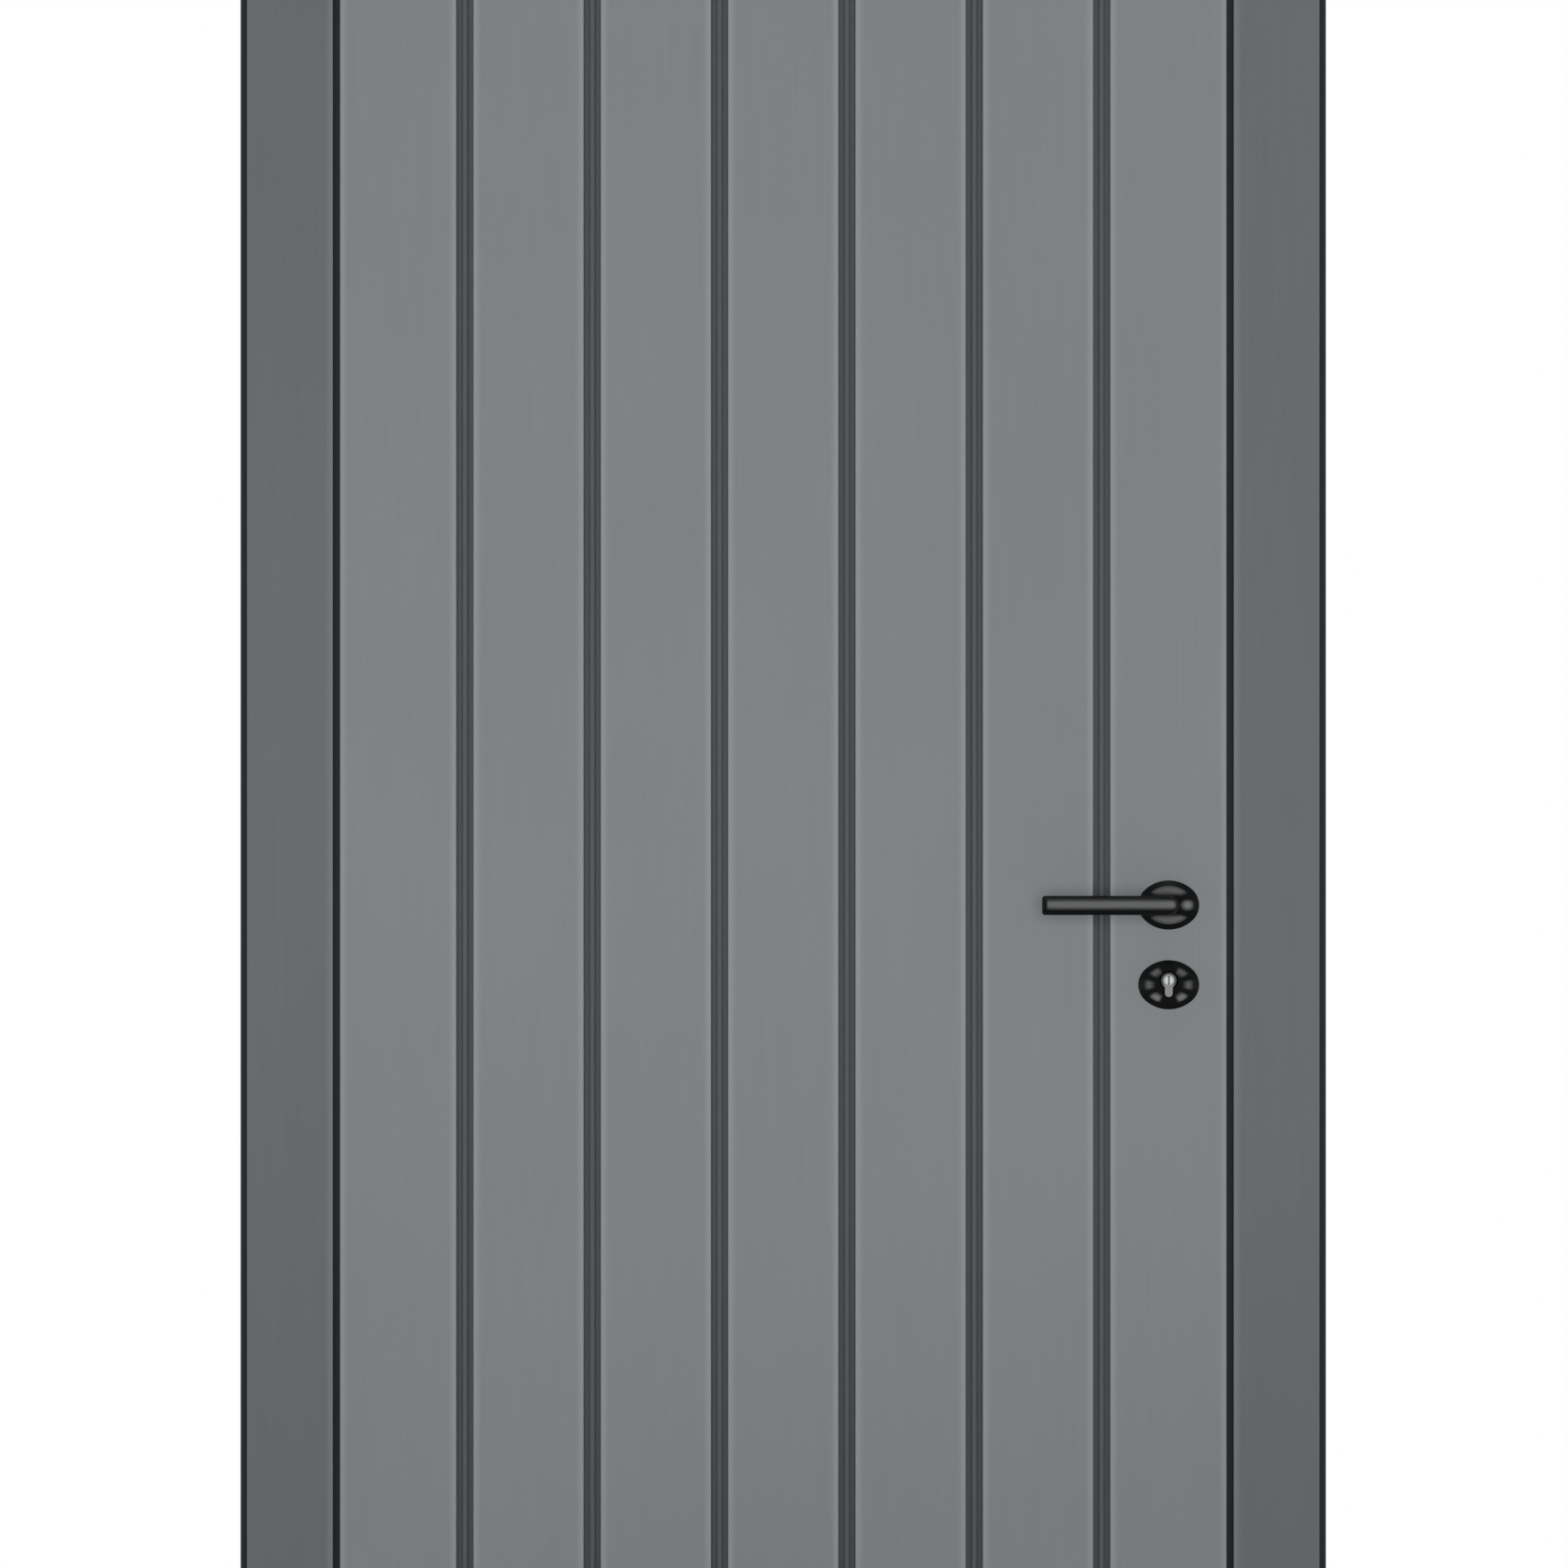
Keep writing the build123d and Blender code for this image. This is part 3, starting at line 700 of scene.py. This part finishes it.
def screw_head(recess):
    """A head of radius 1 at the origin that looks along +Z, its underside closed."""
    head = bmesh.new()
    if recess == "cross":
        bmesh.ops.create_grid(
            head, x_segments=cross_cells, y_segments=cross_cells, size=recess_reach
        )
        middles = {face: face.calc_center_median() for face in head.faces}
        corners = [f for f, m in middles.items() if min(abs(m.x), abs(m.y)) > recess_reach / cross_cells]
        bmesh.ops.delete(head, geom=corners, context="FACES")
    else:
        bmesh.ops.create_circle(head, cap_ends=True, segments=hexagon_sides, radius=recess_reach)
    recess_faces = head.faces[:]
    outline = [edge for edge in head.edges if edge.is_boundary]
    bmesh.ops.bisect_edges(head, edges=outline, cuts=screw_sides // len(outline) - 1)
    outline = [edge for edge in head.edges if edge.is_boundary]
    circle = set(bmesh.ops.create_circle(head, segments=screw_sides, radius=head_face)["verts"])
    rim = [edge for edge in head.edges if circle.issuperset(edge.verts)]
    bmesh.ops.bridge_loops(head, edges=outline + rim)
    sunk = bmesh.ops.extrude_face_region(head, geom=recess_faces)["geom"]
    sunk = [item for item in sunk if isinstance(item, bmesh.types.BMVert)]
    bmesh.ops.scale(head, vec=(recess_floor, recess_floor, 1), verts=sunk)
    bmesh.ops.translate(head, vec=(0, 0, -recess_depth), verts=sunk)
    skirt = bmesh.ops.extrude_edge_only(head, edges=rim)["geom"]
    skirt = [item for item in skirt if isinstance(item, bmesh.types.BMVert)]
    bmesh.ops.scale(head, vec=(1 / head_face, 1 / head_face, 1), verts=skirt)
    bmesh.ops.translate(head, vec=(0, 0, head_face - 1), verts=skirt)
    tip = bmesh.ops.extrude_edge_only(head, edges=[e for e in head.edges if e.is_boundary])["geom"]
    tip = [item for item in tip if isinstance(item, bmesh.types.BMVert)]
    bmesh.ops.translate(head, vec=(0, 0, -recess_depth), verts=tip)
    bmesh.ops.holes_fill(head, edges=[e for e in head.edges if e.is_boundary], sides=screw_sides)
    bmesh.ops.translate(head, vec=(0, 0, head_proud), verts=head.verts)
    data = bpy.data.meshes.new("screw_head_" + recess)
    head.to_mesh(data)
    head.free()
    return data


heads = {recess: screw_head(recess) for recess in ("cross", "hexagon")}


def add_screws(name, places, radius, recess, body, finish):
    """One piece of equal screws, each set into a face at its place."""
    mesh = bmesh.new()
    for place in places:
        first = len(mesh.verts)
        mesh.from_mesh(heads[recess])
        mesh.verts.ensure_lookup_table()
        bmesh.ops.transform(mesh, matrix=place @ Matrix.Scale(radius, 4), verts=mesh.verts[first:])
    finish_piece(mesh, name, body, finish)


# Hinge screws: two rows on each flap, staggered, clear of the knuckles and the rounded corners
hinge_screw_rows = (18 * mm, 31 * mm)
hinge_screw_heights = (-46 * mm, -16 * mm, 16 * mm, 46 * mm)
flap_thickness = 3 * mm
flap_face = jamb_high.y + flap_thickness
for number in (1, 2, 3):
    pin_low, pin_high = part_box(f"hinge_{number}_pin")
    pin = (pin_low + pin_high) / 2
    for side, body in ((-1, "frame"), (1, "leaf")):
        places = [
            facing(Vector((pin.x + side * row, flap_face, pin.z + height)), Vector((0, 1, 0)))
            for row, height in zip(hinge_screw_rows * 2, hinge_screw_heights)
        ]
        add_screws(
            f"hinge_{number}_{body}_screws", places, plate_screw, "cross",
            body, black_coat,
        )

# Forend and strike plate: a screw at each end, and the screw that holds the lock cylinder
plate_screw_margin = 10 * mm
cylinder_screw_drop = 27 * mm
forend_low, forend_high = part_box("lock_forend")
strike_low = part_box("strike_plate")[0]
forend_y = (forend_low.y + forend_high.y) / 2
ends = (forend_low.z + plate_screw_margin, forend_high.z - plate_screw_margin)
cylinder_screw_z = (cylinder_low.z + cylinder_high.z) / 2 - cylinder_screw_drop
add_screws(
    "lock_forend_screws",
    [facing(Vector((forend_high.x, forend_y, z)), Vector((1, 0, 0))) for z in (*ends, cylinder_screw_z)],
    forend_screw, "cross", "leaf", stainless,
)
add_screws(
    "strike_plate_screws",
    [facing(Vector((strike_low.x, forend_y, z)), Vector((-1, 0, 0))) for z in ends],
    plate_screw, "cross", "frame", stainless,
)

# Set screws: one under each lever's neck, which holds it on the spindle
set_screw_reach = 9 * mm
for side, outwards in (("outside", -1), ("inside", 1)):
    plate_low, plate_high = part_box(f"lever_rose_{side}")
    plate_face = plate_low.y if side == "outside" else plate_high.y
    neck_x = (plate_low.x + plate_high.x) / 2
    neck_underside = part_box(f"lever_{side}")[0].z
    point = Vector((neck_x, plate_face + outwards * set_screw_reach, neck_underside))
    add_screws(
        f"lever_{side}_set_screw", [facing(point, Vector((0, 0, -1)), Vector((0, 1, 0)))],
        set_screw, "hexagon", "lever_set", zinc_steel,
    )


# Surroundings: a pale floor that ends out of the camera's sight, and a white room
def ray_that_sees(tree):
    """1 for what the camera sees, also in metal and through glass, and 0 for the light on things."""
    ray = add_node(tree, "ShaderNodeLightPath")
    seen = add_node(
        tree, "ShaderNodeMath",
        {0: ray.outputs["Is Camera Ray"], 1: ray.outputs["Is Glossy Ray"]}, operation="MAXIMUM",
    )
    seen = add_node(
        tree, "ShaderNodeMath",
        {0: seen.outputs[0], 1: ray.outputs["Is Transmission Ray"]}, operation="MAXIMUM",
    )
    return seen.outputs[0]


def add_floor():
    """A round matt floor under the sill."""
    mesh = bmesh.new()
    bmesh.ops.create_circle(mesh, cap_ends=True, segments=floor_sides, radius=floor_radius)
    data = bpy.data.meshes.new("floor")
    mesh.to_mesh(data)
    mesh.free()
    material, tree, shader, place = start_material("pale_floor", {"Roughness": 0.9})
    speck = add_node(
        tree, "ShaderNodeTexNoise", {"Vector": place, "Scale": 1 / floor_speck, "Detail": 3.0}
    )
    tone = add_node(
        tree, "ShaderNodeMix",
        {0: speck.outputs["Fac"], mix_dark: linear("#E4E4E2"), mix_light: linear("#EBEBE9")},
        data_type="RGBA",
    )
    tree.links.new(tone.outputs[mix_result], shader.inputs["Base Color"])
    tree.links.new(tone.outputs[mix_result], shader.inputs["Emission Color"])
    glow = add_node(
        tree, "ShaderNodeMath", {0: ray_that_sees(tree), 1: floor_level}, operation="MULTIPLY"
    )
    tree.links.new(glow.outputs[0], shader.inputs["Emission Strength"])
    data.materials.append(material)
    floor = bpy.data.objects.new("floor", data)
    floor.location.z = cad_low.z
    bpy.context.scene.collection.objects.link(floor)


def light_room():
    """White behind the object, in metal and in glass, and a plain even light from all round."""
    world = bpy.data.worlds.new("white_room")
    world.use_nodes = True
    tree = world.node_tree
    tree.nodes.clear()
    light = add_node(tree, "ShaderNodeBackground", {"Color": linear("#FFFFFF"), "Strength": room_level})
    white = add_node(tree, "ShaderNodeBackground", {"Color": linear("#FFFFFF"), "Strength": 1.0})
    room = add_node(
        tree, "ShaderNodeMixShader",
        {0: ray_that_sees(tree), 1: light.outputs[0], 2: white.outputs[0]},
    )
    add_node(tree, "ShaderNodeOutputWorld", {"Surface": room.outputs[0]})
    bpy.context.scene.world = world


def add_lamp(name, tilt, azimuth, level, glossy):
    """A soft lamp that gives a matt white face square to it this much of full white, mirrored or not."""
    lamp = bpy.data.lights.new(name, "SUN")
    lamp.energy = level * pi
    lamp.angle = lamp_softness
    lamp_object = bpy.data.objects.new(name, lamp)
    lamp_object.rotation_euler = (tilt, 0, azimuth)
    lamp_object.visible_glossy = glossy
    bpy.context.scene.collection.objects.link(lamp_object)


def add_camera():
    """Straight at the outside, at the height and the distance that frame the door as the photograph."""
    pixels_per_metre = (photo_frame_right - photo_frame_left) / (cad_high.x - cad_low.x)
    middle = image_side / 2
    camera = bpy.data.cameras.new("elevation")
    camera.lens = lens
    camera.sensor_width = sensor
    view_width = image_side / pixels_per_metre
    camera_object = bpy.data.objects.new("elevation", camera)
    camera_object.location = (
        (middle - (photo_frame_left + photo_frame_right) / 2) / pixels_per_metre,
        jamb_low.y - view_width * lens / sensor,
        lever_z + (photo_lever_height - middle) / pixels_per_metre,
    )
    camera_object.rotation_euler = (pi / 2, 0, 0)
    bpy.context.scene.collection.objects.link(camera_object)
    bpy.context.scene.camera = camera_object


add_floor()
light_room()
for name, tilt, azimuth, level, glossy in (
    ("front_lamp", pi / 2, 0, front_level, False), ("back_lamp", pi / 2, pi, front_level, False),
    ("right_lamp", pi / 2, pi / 2, side_level, True), ("left_lamp", pi / 2, -pi / 2, side_level, True),
    ("top_lamp", 0, 0, top_level, True),
):
    add_lamp(name, tilt, azimuth, level, glossy)
add_camera()
bpy.context.scene.view_settings.view_transform = "Standard"
